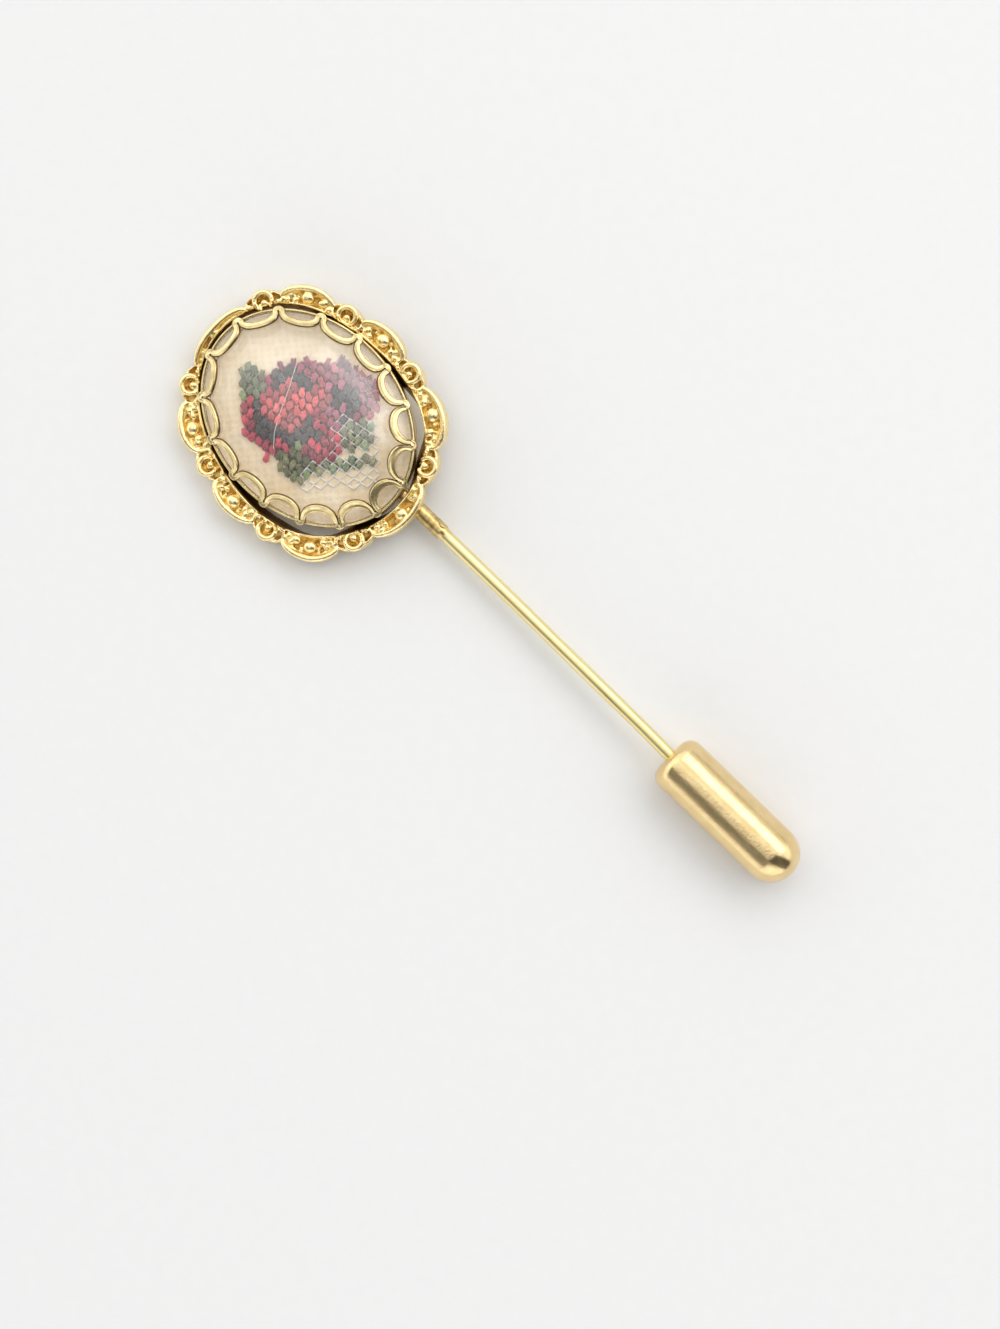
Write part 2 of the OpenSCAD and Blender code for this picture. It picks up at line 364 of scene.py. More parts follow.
def makeFloor():
    floor = begun(bpy.ops.mesh.primitive_plane_add, size=studio["floorSize"], location=(0, 0, -0.00003))
    named(floor, "paper_floor")
    paper = Finish("white_paper")
    dull = tuple(0.985 * c for c in studio["floorColour"])
    paper.drive("Base Color", paper.ramp(paper.grain(0.9, 4), [(0.3, dull), (0.7, studio["floorColour"])]))
    paper.fix({"Roughness": 0.85, "Specular IOR Level": 0.15})
    paper.drive("Normal", paper.relief(paper.grain(2.2, 3), 0.006))
    floor.data.materials.append(paper.material)


def makeKey():
    data = bpy.data.lights.new("softbox", "AREA")
    data.shape = "RECTANGLE"
    data.size, data.size_y = studio["keySize"]
    data.energy = studio["keyRadiance"] * pi * data.size * data.size_y
    data.color = (1.0, 0.985, 0.96)
    lamp = bpy.data.objects.new("softbox", data)
    bpy.context.collection.objects.link(lamp)
    a = radians(studio["keyFromZenith"])
    lamp.location = (0, studio["keyDistance"] * sin(a), studio["keyDistance"] * cos(a))
    lamp.rotation_euler = (-a, 0, 0)


def makeSurroundings():
    # The room as the metal mirrors it: a pale ceiling, a dark stand over the pin, dim walls to one side
    world = bpy.data.worlds.new("studio_room")
    bpy.context.scene.world = world
    world.use_nodes = True
    tree = world.node_tree
    nodes, links = tree.nodes, tree.links
    background = nodes["Background"]

    def maths(kind, a, b=None, clamp=False):
        node = nodes.new("ShaderNodeMath")
        node.operation = kind
        node.use_clamp = clamp
        for socket, source in zip(node.inputs, (a, b)):
            if source is None:
                continue
            if isinstance(source, (int, float)):
                socket.default_value = source
            else:
                links.new(source, socket)
        return node.outputs[0]

    def times(a, b):
        return maths("MULTIPLY", a, b)

    def plus(a, b):
        return maths("ADD", a, b)

    def minus(a, b):
        return maths("SUBTRACT", a, b)

    def clamped(a, b):
        # a / b, held between 0 and 1
        return maths("DIVIDE", a, b, clamp=True)

    def bump(angle, low, high, soft):
        # 1 between two angles, with soft ends
        rise = clamped(minus(angle, low - soft / 2), soft)
        return times(rise, clamped(minus(high + soft / 2, angle), soft))

    place = nodes.new("ShaderNodeTexCoord")
    split = nodes.new("ShaderNodeSeparateXYZ")
    links.new(place.outputs["Generated"], split.inputs[0])
    x, y, z = split.outputs
    # angle across the wire, from the zenith towards +Y, and along it from the zenith towards +X
    across = times(maths("ARCTAN2", y, z), 180 / pi)
    along = times(maths("ARCTAN2", x, z), 180 / pi)

    room = plus(studio["horizon"], times(maths("MAXIMUM", z, 0.0), studio["ceiling"] - studio["horizon"]))
    ends = clamped(minus(maths("ABSOLUTE", along), studio["endsFrom"]), studio["endsSoft"])
    room = plus(room, times(ends, studio["ends"]))
    room = plus(room, times(bump(across, *studio["stripAcross"]), studio["strip"]))
    stand = times(bump(across, *studio["standAcross"]), bump(along, *studio["standAlong"]))
    farWall = times(bump(across, *studio["wallAcross"]), studio["wallShade"])
    dark = maths("MAXIMUM", stand, farWall)
    light = plus(times(room, minus(1.0, dark)), times(dark, studio["shade"]))
    # the camera, an almost black oval towards the clutch's tip
    turn = radians(studio["cameraTurn"])
    halfLong, halfShort = studio["cameraHalf"]
    east, north = minus(x, studio["cameraAt"][0]), minus(y, studio["cameraAt"][1])
    onLong = plus(times(east, cos(turn) / halfLong), times(north, sin(turn) / halfLong))
    onShort = plus(times(east, -sin(turn) / halfShort), times(north, cos(turn) / halfShort))
    black = clamped(minus(1.1, plus(times(onLong, onLong), times(onShort, onShort))), 0.2)
    black = times(black, clamped(minus(x, 0.05), 0.1))
    light = times(light, minus(1.0, times(black, 0.92)))
    below = maths("LESS_THAN", z, 0.0)
    level = plus(times(light, minus(1.0, below)), times(below, studio["ground"]))
    links.new(level, background.inputs["Strength"])
    background.inputs["Color"].default_value = (1.0, 0.995, 0.985, 1)


makeFloor()
makeKey()
makeSurroundings()
bpy.context.scene.view_settings.view_transform = "Standard"
bpy.context.scene.view_settings.look = "None"
print("studio set")

# Domed glass

glass = {
    "half": (9.4, 7.37),
    "girdleFoot": 1.35,
    "domeFoot": 2.15,
    "rise": 2.0,
    "power": 2.4,
    "wall": 0.7,
    "edgeRound": 0.08,
}


def domeRise(share):
    return glass["rise"] * (1 - min(share, 1.0) ** glass["power"])


def ovalSpot(turn, row):
    a = radians(turn)
    return Vector((row[0] * cos(a), row[1] * sin(a), row[2]))


def makeGlass():
    half, wall = glass["half"], glass["wall"]
    inner = grown(half, -wall)
    shares = [0.0, 0.08, 0.18, 0.28, 0.38, 0.48, 0.57, 0.65, 0.73, 0.8, 0.86, 0.91, 0.95, 0.98]
    rows = [(half[0] * q, half[1] * q, glass["domeFoot"] + domeRise(q)) for q in shares]
    r = glass["edgeRound"]
    rows += [(*grown(half, -r * 0.4), glass["domeFoot"] + r), (*half, glass["domeFoot"] - r)]
    rows += [(*half, glass["girdleFoot"] + r), (*grown(half, -r), glass["girdleFoot"])]
    rows += [(*grown(inner, r), glass["girdleFoot"]), (*inner, glass["girdleFoot"] + r)]
    top = glass["domeFoot"] - wall
    rows += [(inner[0] * q, inner[1] * q, top + domeRise(q)) for q in [1.0] + shares[::-1]]
    piece = extrudedRings("domed_cover", 128, rows, ovalSpot)

    clear = Finish("clear_cover_glass")
    # fine scratches give the broad haze over the clear glass
    clear.fix({"Base Color": (1.0, 1.0, 0.995, 1), "Transmission Weight": 1.0, "IOR": 1.5,
               "Coat Weight": 0.5, "Coat Roughness": 0.33, "Coat IOR": 1.9})
    clear.drive("Roughness", clear.between(clear.grain(0.35, 5), 0.0, 0.035, 0.45, 0.8))
    through = clear.add("BsdfTransparent")
    path = clear.add("LightPath")
    either = clear.add("Math", operation="MAXIMUM")
    clear.join(path.outputs["Is Shadow Ray"], either.inputs[0])
    clear.join(path.outputs["Is Diffuse Ray"], either.inputs[1])
    mix = clear.add("MixShader")
    clear.join(either.outputs[0], mix.inputs["Fac"])
    clear.join(clear.shader.outputs[0], mix.inputs[1])
    clear.join(through.outputs[0], mix.inputs[2])
    clear.join(mix.outputs[0], clear.tree.nodes["Material Output"].inputs["Surface"])
    laidDown(piece, clear, inCup, ["domed_glass"], angle=35)
    print("domed cover made")


makeGlass()

# Lace-edge bezel

lace = {
    "cupInside": (9.45, 7.42),
    "cupWall": 0.22,
    "cupFloor": 0.45,
    "loops": 16,
    "band": 0.58,  # width of the band over a crown
    "neckBand": 0.42,  # and round the turn between two loops
    "thick": 0.32,
    "reach": 1.50,
    "reachMore": (0.30, 0.12),  # the loops reach in further towards the wire, and at both ends of the oval
    "lead": 2.9,  # degrees that the loops run ahead, and their uneven pitch
    "uneven": 2.9,
    "turnRadius": 0.29,
    "turnAt": 0.26,
    "crownAt": 0.34,
    "cuts": 56,  # slices along one repeat
}

# The band's section, from the hole's side to the crown's side: a rolled rim on a slightly hollow flat
bandSection = [(-0.5, -0.3), (-0.49, -0.02), (-0.43, 0.30), (-0.35, 0.40), (-0.22, 0.36), (-0.06, 0.32),
               (0.10, 0.34), (0.20, 0.42), (0.28, 0.52), (0.35, 0.53), (0.40, 0.42), (0.45, 0.22),
               (0.49, -0.05), (0.5, -0.3), (0.44, -0.5), (-0.44, -0.5)]


def overGlass(turn, reach):
    # middle of the band's thickness, at an even turn round the oval and a reach in from the wall
    turn += lace["lead"] + lace["uneven"] * cos(radians(turn - 265))
    a = radians(turn)
    more = lace["reachMore"][0] * cos(a) + lace["reachMore"][1] * cos(2 * a)
    inward = max(reach, 0.0) * (1 + more / lace["reach"])
    outward = max(-reach, 0.0)
    half = grown(lace["cupInside"], lace["thick"] / 2 - inward)
    a = radians(evenTurn(lace["cupInside"], turn))
    x, y = half[0] * cos(a), half[1] * sin(a)
    gx, gy = glass["half"]
    share = hypot(x / gx, y / gy)
    slope = glass["rise"] * glass["power"] * min(share, 1.0) ** (glass["power"] - 2)
    normal = Vector((x / gx ** 2, y / gy ** 2, 1 / slope)).normalized()
    height = glass["domeFoot"] + domeRise(share) + (0.05 + lace["thick"] / 2) / normal.z
    away = Vector((x / gx ** 2, y / gy ** 2, 0)).normalized()
    return Vector((x, y, height)) + away * outward - Vector((0, 0, 0.5 * outward + 0.5 * outward ** 2))


def laceLine():
    # the band's middle line over one repeat: along the edge, in from the wall, and the band's width
    pitch = pi * sum(lace["cupInside"]) / lace["loops"]
    r = lace["turnRadius"]
    side = pitch / 2 - r
    rise = lace["reach"] - lace["band"] / 2 - lace["crownAt"]
    line = []
    for i in range(9):
        a = radians(-90 + 90 * i / 8)
        line.append((-pitch / 2 + r * cos(a), lace["turnAt"] + r * sin(a), 1.0 - 0.25 * i / 8))
    for i in range(1, 25):
        a = radians(180 - 90 * i / 24)
        line.append((side * cos(a), lace["crownAt"] + rise * sin(a), max(0.0, 0.75 * (1 - i / 9))))
    line = [(s, v, lace["band"] - (lace["band"] - lace["neckBand"]) * k) for s, v, k in line]
    return pitch, line + [(-s, v, w) for s, v, w in line[-2::-1]]


def makeLace():
    pitch, line = laceLine()
    lengths = [0.0]
    for p, q in zip(line, line[1:]):
        lengths.append(lengths[-1] + dist(p[:2], q[:2]))

    def onLine(share):
        at = share * lengths[-1]
        k = max(1, min(len(line) - 1, next((i for i, v in enumerate(lengths) if v >= at), len(line) - 1)))
        f = (at - lengths[k - 1]) / (lengths[k] - lengths[k - 1])
        p, q = line[k - 1], line[k]
        spot = [a + (b - a) * f for a, b in zip(p, q)]
        before, after = line[max(k - 2, 0)], line[min(k + 1, len(line) - 1)]
        # the ends run straight across to the next repeat
        way = Vector((after[0] - before[0], after[1] - before[1]))
        if share < 0.004 or share > 0.996:
            way = Vector((1, 0))
        return spot, way.normalized()

    # the blank: a ring of points pulled to the band's section, drawn out one slice and repeated
    blank = begun(bpy.ops.mesh.primitive_circle_add, vertices=len(bandSection), radius=1)
    for point, (across, up) in zip(blank.data.vertices, bandSection):
        point.co = (0, across * lace["band"], up * lace["thick"])
    bpy.ops.object.mode_set(mode="EDIT")
    bpy.ops.mesh.select_all(action="SELECT")
    bpy.ops.mesh.extrude_edges_move(TRANSFORM_OT_translate={"value": (1 / lace["cuts"], 0, 0)})
    bpy.ops.object.mode_set(mode="OBJECT")
    finishWith(blank, "ARRAY", count=lace["cuts"], relative_offset_displace=(1, 0, 0),
               use_merge_vertices=True, merge_threshold=0.0005)
    spots = pointsOf(blank)
    start = spots[:, 0].min()
    # the band's two edges are painted dark: painted shade and a painted dark reflection along the glass
    giveNumbers(blank, "paintedEdgeShade", np.clip((abs(spots[:, 1] / lace["band"]) - 0.40) / 0.06, 0, 1))

    repeats = []
    step = 360 / lace["loops"]
    for number in range(lace["loops"]):
        repeat = copied(blank, Matrix.Identity(4))
        for point in repeat.data.vertices:
            share = min(1.0, max(0.0, point.co.x - start))
            (s, v, width), way = onLine(share)
            offset = point.co.y * width / lace["band"]
            s, v = s - way.y * offset, v + way.x * offset

            def spotAt(s, v):
                local = pi * (sum(lace["cupInside"]) - 1.1 * max(v, 0.0)) / lace["loops"]
                return overGlass((number + s / local) * step, v)

            middle = spotAt(s, v)
            acrossWay = spotAt(s + 0.01, v) - middle
            inWay = spotAt(s, v + 0.01) - middle
            point.co = middle + acrossWay.cross(inWay).normalized() * point.co.z
        repeats.append(repeat)
    bpy.data.objects.remove(blank)
    return cleaned(joined("lace_ribbon", repeats), 0.02)


def makeBezel():
    inside, wall, floor = lace["cupInside"], lace["cupWall"], lace["cupFloor"]
    outside = grown(inside, wall)
    rim = glass["domeFoot"] - 0.05
    r = 0.09
    rows = [(0, 0, 0), (*grown(outside, -0.3), 0), (*grown(outside, -0.08), 0.03), (*outside, 0.14),
            (*outside, rim - r), (*grown(outside, -r * 0.3), rim - r * 0.3), (*grown(outside, -r), rim),
            (*grown(inside, r), rim),
            (*grown(inside, r * 0.3), rim - r * 0.3), (*inside, rim - r),
            (*inside, floor + 0.1), (*grown(inside, -0.1), floor), (0, 0, floor)]
    ribbon = makeLace()
    cup = extrudedRings("cup", 128, rows, ovalSpot)
    bezel = joined("lace_bezel", [ribbon, cup])

    satin = Finish("satin_lace_gold")
    satin.fix({"Metallic": 1.0})
    worn = satin.grain(1.6, 4)
    satinTone = satin.ramp(worn, [(0.3, (0.64, 0.50, 0.25)), (0.55, (0.80, 0.65, 0.34)),
                              (0.75, (0.90, 0.77, 0.44))])
    # the satin's own tone, with dark painted shade on the band's edges
    satin.drive("Base Color", satin.mixed(satin.attribute("paintedEdgeShade"), satinTone, (0.21, 0.13, 0.05)))
    satin.drive("Roughness", satin.between(worn, 0.34, 0.22))
    satin.drive("Normal", satin.relief(satin.grain(6, 3), 0.008))
    laidDown(bezel, satin, inCup, ["setting"], angle=50)
    print("lace bezel made,", len(bezel.data.polygons), "faces")


makeBezel()

# Cast frame

cast = {
    # the real ring is a little bent: its inner edge at every eighth of a turn
    "innerEdge": (9.6, 9.01, 7.95, 9.37, 10.4, 8.65, 8.05, 9.0),
    # how far its outer edge lies outside the even oval, at every sixteenth of a turn
    "outerBend": (0.0, -0.19, -0.12, -0.23, -0.04, -0.18, 0.08, 0.33,
                  0.1, 0.06, -0.27, -0.34, -0.05, 0.04, 0.12, -0.24),
    # how far the foot of the ring runs in towards the cup, at every sixteenth of a turn
    "feet": (0.1, 0.65, 0.0, 0.6, 0.5, 0.4, 0.3, 0.3, 0.3, 0.3, 0.35, 0.4, 0.5, 0.4, 0.0, 0.6),
    # how far each small cup stands from its even place, in degrees
    "cupTurns": (-0.5, 0.8, 0.5, -4.1, 1.8, -3.5, -3.1, -4.7),
    "rimHalf": (11.22, 10.02),
    "rimSquare": 2.33,
    "pairs": 8,
    "largeShare": 0.315,
    "notch": 1.0,
    "smallShort": 0.25,
    "height": 1.8,
    "hollow": 0.5,
    "pearl": 0.54,
    "crescent": (0.19, 0.09),  # radius at its ends, and how much more at its middle
    # on each flank: share of the way to the notch, share of the width, size
    "lumps": ((0.50, 0.30, 0.30), (0.66, 0.50, 0.28), (0.80, 0.28, 0.24), (0.92, 0.46, 0.2)),
    "ridges": (0.56, 0.80),
    "grainDepth": 0.055,
    "voxel": 0.062,
    "seed": 11,
}
lobeStep = 360 / cast["pairs"]
largeHalf = cast["largeShare"] * lobeStep
smallHalf = lobeStep / 2 - largeHalf
edgeWaves = np.fft.fft(cast["innerEdge"]) / len(cast["innerEdge"])


def lobeFold(angle):
    return angle - lobeStep * round(angle / lobeStep)


def inLarge(angle):
    return abs(lobeFold(angle)) <= largeHalf


def lobeArch(angle):
    across = lobeFold(angle) / largeHalf if inLarge(angle) else lobeFold(angle + lobeStep / 2) / smallHalf
    return sqrt(max(0.0, 1 - across * across))


def bentTurn(angle):
    place = angle / lobeStep - 0.5
    first = int(np.floor(place))
    share = 0.5 - 0.5 * cos(pi * (place - first))
    before, after = cast["cupTurns"][first % 8], cast["cupTurns"][(first + 1) % 8]
    return angle + before + (after - before) * share


def boreAtTurn(a):
    return sum((1 if k in (0, 4) else 2) * (wave.real * cos(k * a) - wave.imag * sin(k * a))
               for k, wave in enumerate(edgeWaves[:5]))


def boreAt(angle):
    return boreAtTurn(radians(bentTurn(angle)))


def round16(values, angle):
    # a value between those given for every sixteenth of a turn
    place = angle % 360 / 22.5
    first = int(place)
    share = place - first
    share = share * share * (3 - 2 * share)
    return values[first % 16] * (1 - share) + values[(first + 1) % 16] * share


def rimAt(angle):
    arch = lobeArch(angle)
    short = 0 if inLarge(angle) else cast["smallShort"] * arch
    even = ovalRadius(cast["rimHalf"], bentTurn(angle), cast["rimSquare"])
    return even + round16(cast["outerBend"], angle) - cast["notch"] * (1 - arch) - short


def onFrame(radius, angle, height):
    return atAngle(radius, bentTurn(angle), height)


def rimHeight(angle):
    return cast["height"] * (0.8 + 0.2 * lobeArch(angle))


# The ring's section: share of the width, share of the height, share of the hollow
castSection = [(0, 0, 0), (0, 0.10, 0), (0, 0.4, 0), (0, 0.70, 0), (0.03, 0.80, 0), (0.08, 0.84, 0),
               (0.16, 0.82, 0.3), (0.28, 0.9, 1), (0.45, 0.92, 1), (0.6, 0.93, 0.9), (0.72, 0.95, 0.4),
               (0.82, 0.96, 0), (0.92, 0.9, 0), (0.97, 0.6, 0), (1, 0, 0), (0.5, 0, 0), (0, 0, 0)]


def castSpot(angle, row):
    arch = lobeArch(angle)
    inner = boreAt(angle)
    width = rimAt(angle) - inner
    deep = cast["hollow"] * (0.35 + 0.65 * arch)
    foot = round16(cast["feet"], bentTurn(angle)) * max(0.0, 1 - row[1] / 0.8) if row[0] == 0 else 0.0
    return onFrame(inner - foot + row[0] * width, angle, rimHeight(angle) * row[1] - deep * row[2])


def castFrame():
    chance = random.Random(cast["seed"])
    vary = chance.uniform
    parts = [extrudedRings("frame_ring", 384, castSection, castSpot)]
    floorZ = cast["height"] * 0.9 - cast["hollow"]

    ball = begun(bpy.ops.mesh.primitive_uv_sphere_add, segments=16, ring_count=10, radius=1)

    def bead(spot, size, turn=0.0):
        parts.append(copied(ball, Matrix.Translation(spot) @ turned(turn, "Z") @ Matrix.Diagonal((*size, 1))))

    def rod(run, closed=False):
        spots, radii = zip(*run)
        parts.append(bentRod(spots, radii, closed=closed))

    def grains(centre, spread, count, low, high, lift):
        # a pinch of fine granules round a spot
        for _ in range(count):
            a, r = vary(0, 360), spread * sqrt(vary(0.1, 1))
            size = vary(low, high)
            bead(centre + atAngle(r, a, lift + vary(-0.05, 0.06)), (size, size, size))

    def ridge(start, end, thickness, bulge=0.0):
        # a rounded cross ridge, thicker at its middle
        waves = [sin(pi * k / 4) for k in range(5)]
        rod([(start.lerp(end, k / 4) + Vector((0, 0, bulge * wave)), thickness * (0.8 + 0.2 * wave))
             for k, wave in enumerate(waves)])

    for i in range(cast["pairs"]):
        middle = i * lobeStep
        wide = rimAt(middle) - boreAt(middle)
        slim = min(1.0, wide / 1.8)
        # the polished crescent along the outer edge
        run = []
        for k in range(-14, 15):
            a = middle + k / 14 * largeHalf * 0.99
            radius = cast["crescent"][0] + cast["crescent"][1] * lobeArch(a)
            run.append((onFrame(rimAt(a) - 0.02 - radius, a, rimHeight(a) - radius * 0.8), radius))
        rod(run)
        # a softer band inside it on both flanks, swelling towards the notch
        for side in (-1, 1):
            run = []
            for k in range(9):
                a = middle + side * (0.34 + 0.6 * k / 8) * largeHalf
                radius = 0.10 + 0.09 * sin(pi * (k + 1) / 10)
                out = (0.40 + 0.34 * (1 - lobeArch(a)) - 0.12 * k / 8) * slim
                run.append((onFrame(rimAt(a) - out - radius, a, rimHeight(a) - 0.30 - radius * 0.4), radius))
            rod(run)
        # pearl in its hollow, with a ridge half round it
        size = min(cast["pearl"], 0.5 * wide) * vary(0.95, 1.08)
        seat = boreAt(middle) + 0.44 * wide
        sway = middle + vary(-1.2, 1.2)
        bead(onFrame(seat, sway, floorZ + 0.27), (size, size * 1.08, size * 0.85), middle)
        around = (size + 0.24) * slim
        centre = onFrame(seat, sway, floorZ + 0.1)
        rod([(centre + atAngle(around, bentTurn(middle) + k * 13, 0.12), 0.11 + 0.03 * chance.random())
             for k in range(-7, 8)])
        grains(centre, around + 0.1 * slim, 3, 0.10, 0.14, 0.0)
        # lumps, ridges and granules on each flank
        for side in (-1, 1):
            for share, out, size in cast["lumps"]:
                a = middle + side * (share + vary(-0.04, 0.04)) * largeHalf
                w = rimAt(a) - boreAt(a)
                size *= vary(0.9, 1.35) * slim
                radius = boreAt(a) + (out + vary(-0.06, 0.06)) * w
                bead(onFrame(radius, a, floorZ + 0.16 + vary(0, 0.12)),
                     (size * vary(0.9, 1.25), size * vary(0.8, 1.1), size),
                     vary(0, 180))
            for share in cast["ridges"]:
                a = middle + side * share * largeHalf
                ridge(onFrame(boreAt(a) + 0.15, a, floorZ + 0.2),
                      onFrame(rimAt(a) - 0.35, a + side * vary(0.3, 2.2), rimHeight(a) - 0.3),
                      vary(0.09, 0.13), 0.05)
            a = middle + side * 0.66 * largeHalf
            grains(onFrame((boreAt(a) + rimAt(a)) / 2, a, floorZ), 0.55 * slim, 5, 0.10, 0.17, 0.2)

        # the small cup, a thick ring open inwards, with a pearl near its mouth
        middle = (i + 0.5) * lobeStep
        wide = rimAt(middle) - boreAt(middle)
        reach = min(0.74, 0.5 * wide + 0.25)
        seat = rimAt(middle) - reach - 0.2
        facing = bentTurn(middle)
        run = []
        for k in range(-12, 13):
            curl = (abs(k) / 12) ** 4
            spot = onFrame(seat, middle, rimHeight(middle) - 0.13 - 0.25 * curl)
            spot += atAngle(reach * (1 - 0.15 * curl), facing + k * 12.2, 0)
            run.append((spot, 0.25 - 0.06 * abs(k) / 12))
        rod(run)
        for k in range(-6, 7):
            if chance.random() < 0.55:
                size = vary(0.08, 0.12)
                spot = onFrame(seat, middle, rimHeight(middle)) + atAngle(reach, facing + k * 22, 0)
                bead(spot, (size, size, size))
        inner = onFrame(seat - 0.12, middle, floorZ + 0.12)
        bead(inner + Vector((0, 0, 0.1)), (0.35, 0.37, 0.32), vary(0, 180))
        grains(inner, 0.5, 5, 0.08, 0.12, 0.02)
        # bars and scroll ends in the notches beside it
        for side in (-1, 1):
            a = middle + side * smallHalf * 1.02
            ridge(onFrame(boreAt(a) + 0.12, a, floorZ + 0.3),
                  onFrame(rimAt(a) - 0.14, a, rimHeight(a) - 0.14),
                  vary(0.12, 0.16), 0.03)
            a = middle + side * smallHalf * 0.8
            scroll = onFrame(boreAt(a) + 0.26, a, floorZ + 0.42)
            rod([(scroll + atAngle(0.14, facing + k * 40, 0), 0.08) for k in range(9)])
            if chance.random() < 0.6:
                a = middle + side * smallHalf * 1.18
                bead(onFrame(rimAt(a) - 0.1, a, rimHeight(a) - 0.25), (0.15, 0.15, 0.15))
    # the border along the inner edge, rubbed flatter in places
    run = []
    for k in range(240):
        a = k * 1.5
        radius = 0.10 + 0.03 * sin(radians(a * 7)) + 0.02 * chance.random()
        run.append((onFrame(boreAt(a) + 0.10, a, rimHeight(a) * 0.83), radius))
    rod(run, closed=True)
    bpy.data.objects.remove(ball)
    piece = joined("scalloped_frame", parts)
    finishWith(piece, "REMESH", mode="VOXEL", voxel_size=cast["voxel"])
    return finishWith(piece, "SMOOTH", factor=0.5, iterations=3)


def grainAndShadeFrame(piece):
    # casting grain, left off the polished edges
    deep = cavities(piece, 40, 0.10)
    spots, normals = pointsOf(piece), pointsOf(piece, "normal")
    grain = np.array([noise.noise(Vector(s) * 3.1) * 0.6 + noise.noise(Vector(s) * 7.3) * 0.4 for s in spots])
    lift = grain * cast["grainDepth"] * np.clip(0.75 + deep, 0.08, 1)
    piece.data.vertices.foreach_set("co", (spots + normals * lift[:, None]).ravel())
    # how deep each point lies in a hollow; the finish paints the hollows darker and more orange as painted
    # shade
    giveNumbers(piece, "hollow", cavities(piece, 40, 0.10))
    # the wall towards the cup, low down by the inner edge, is painted dark brown as shade in the narrow gap
    out = np.linalg.norm(spots[:, :2], axis=1)
    facing = -(normals[:, :2] * (spots[:, :2] / np.maximum(out, 0.1)[:, None])).sum(1)
    depth = np.clip((1.30 - spots[:, 2]) / 0.2, 0, 1)
    edge = np.array([boreAtTurn(a) for a in np.arctan2(spots[:, 1], spots[:, 0])])
    near = np.clip((edge + 0.2 - out) / 0.12, 0, 1)
    giveNumbers(piece, "paintedWallShade", np.clip(facing * 1.6, 0.3, 1) * depth * near)


def makeFrame():
    piece = castFrame()
    grainAndShadeFrame(piece)
    gold = Finish("cast_bright_gold")
    gold.fix({"Metallic": 1.0})
    deep = gold.between(gold.attribute("hollow"), 0, 1, -0.5, 1.0)
    # painted shade by the hollows, plus a little random tone
    shadeAndTone = gold.add("Math", operation="ADD")
    gold.join(deep, shadeAndTone.inputs[0])
    gold.join(gold.between(gold.grain(1.4, 4), -0.1, 0.1), shadeAndTone.inputs[1])
    bright = gold.ramp(shadeAndTone.outputs[0], [(0.0, (1.0, 0.82, 0.43)), (0.35, (0.96, 0.75, 0.34)),
                                          (0.65, (0.84, 0.60, 0.22)), (1.0, (0.62, 0.40, 0.11))])
    # dark brown painted shade on the low wall towards the cup
    gold.drive("Base Color", gold.mixed(gold.attribute("paintedWallShade"), bright, (0.34, 0.19, 0.06)))
    gold.drive("Roughness", gold.between(deep, 0.26, 0.45, 0.1, 0.8))
    gold.drive("Normal", gold.relief(gold.grain(6, 4), 0.02))
    laidDown(piece, gold, inHead, ["setting"])
    print("cast frame made,", len(piece.data.polygons), "faces")


makeFrame()

# Wire

wire = {
    "radius": 0.55,
    "sleeveRadius": 0.66,
    "sleeveFrom": -3.0,
    "sleeveTo": 13.62,
    "pointFrom": 38.92,
    "tip": 48.72,
    "tipRadius": 0.1,
    # the wire is a little bowed: how far aside it lies, along its length
    "bow": ((-3.0, 22.0, 30.0, 36.0, 39.2, 43.0, 48.8), (0.3, 0.3, 0.23, 0.19, 0.12, 0.09, 0.08)),
    "solder": (13.2, 0.62, 0.5),  # a drop by the end of the sleeve
    "solderRadius": 0.24,
}


def barSpot(turn, row, aside):
    a = radians(turn)
    return Vector((row[0], row[1] * cos(a) + aside, row[1] * sin(a)))


def wireSpot(turn, row):
    return barSpot(turn, row, np.interp(row[0], *wire["bow"]))


def makeWire():
    r, s = wire["radius"], wire["sleeveRadius"]
    head, neck, tip, blunt = wire["sleeveFrom"], wire["sleeveTo"], wire["tip"], wire["tipRadius"]
    rows = [(head, 0), (head, s - 0.1), (head + 0.1, s), (neck - 0.25, s), (neck - 0.08, s - 0.02),
            (neck + 0.1, r + 0.02), (neck + 0.3, r)]
    steps = 60
    start = neck + 0.3
    rows += [(start + (wire["pointFrom"] - start) * k / steps, r) for k in range(1, steps + 1)]
    rows += [(tip - 0.1, blunt + 0.01), (tip - 0.03, blunt * 0.8), (tip, 0)]
    bar = extrudedRings("pin_wire", 48, rows, wireSpot)
    drop = begun(bpy.ops.mesh.primitive_uv_sphere_add, segments=20, ring_count=12,
                 radius=wire["solderRadius"], location=wire["solder"])
    bpy.ops.transform.resize(value=(1.5, 0.8, 0.8), center_override=wire["solder"])
    pick(drop)
    bpy.ops.object.transform_apply(location=True, rotation=True, scale=True)
    piece = joined("pin_wire", [bar, drop])
    giveNumbers(piece, "solder", np.clip((14.2 - pointsOf(piece)[:, 0]) / 0.8, 0, 1))

    drawn = Finish("drawn_wire_gold")
    drawn.fix({"Metallic": 1.0})
    streak = drawn.grain(3.0, 4, stretch=(0.06, 1, 1))
    plain = drawn.ramp(streak, [(0.3, (0.87, 0.72, 0.32)), (0.7, (0.95, 0.83, 0.45))])
    dark = drawn.ramp(drawn.grain(2.0, 4), [(0.35, (0.42, 0.29, 0.11)), (0.65, (0.80, 0.60, 0.26))])
    drawn.drive("Base Color", drawn.mixed(drawn.attribute("solder"), plain, dark))
    drawn.drive("Roughness", drawn.between(streak, 0.24, 0.36))
    drawn.drive("Normal", drawn.relief(streak, 0.006))
    laidDown(piece, drawn, alongWire, ["setting"], angle=40)
    print("wire made")


makeWire()

# Clutch

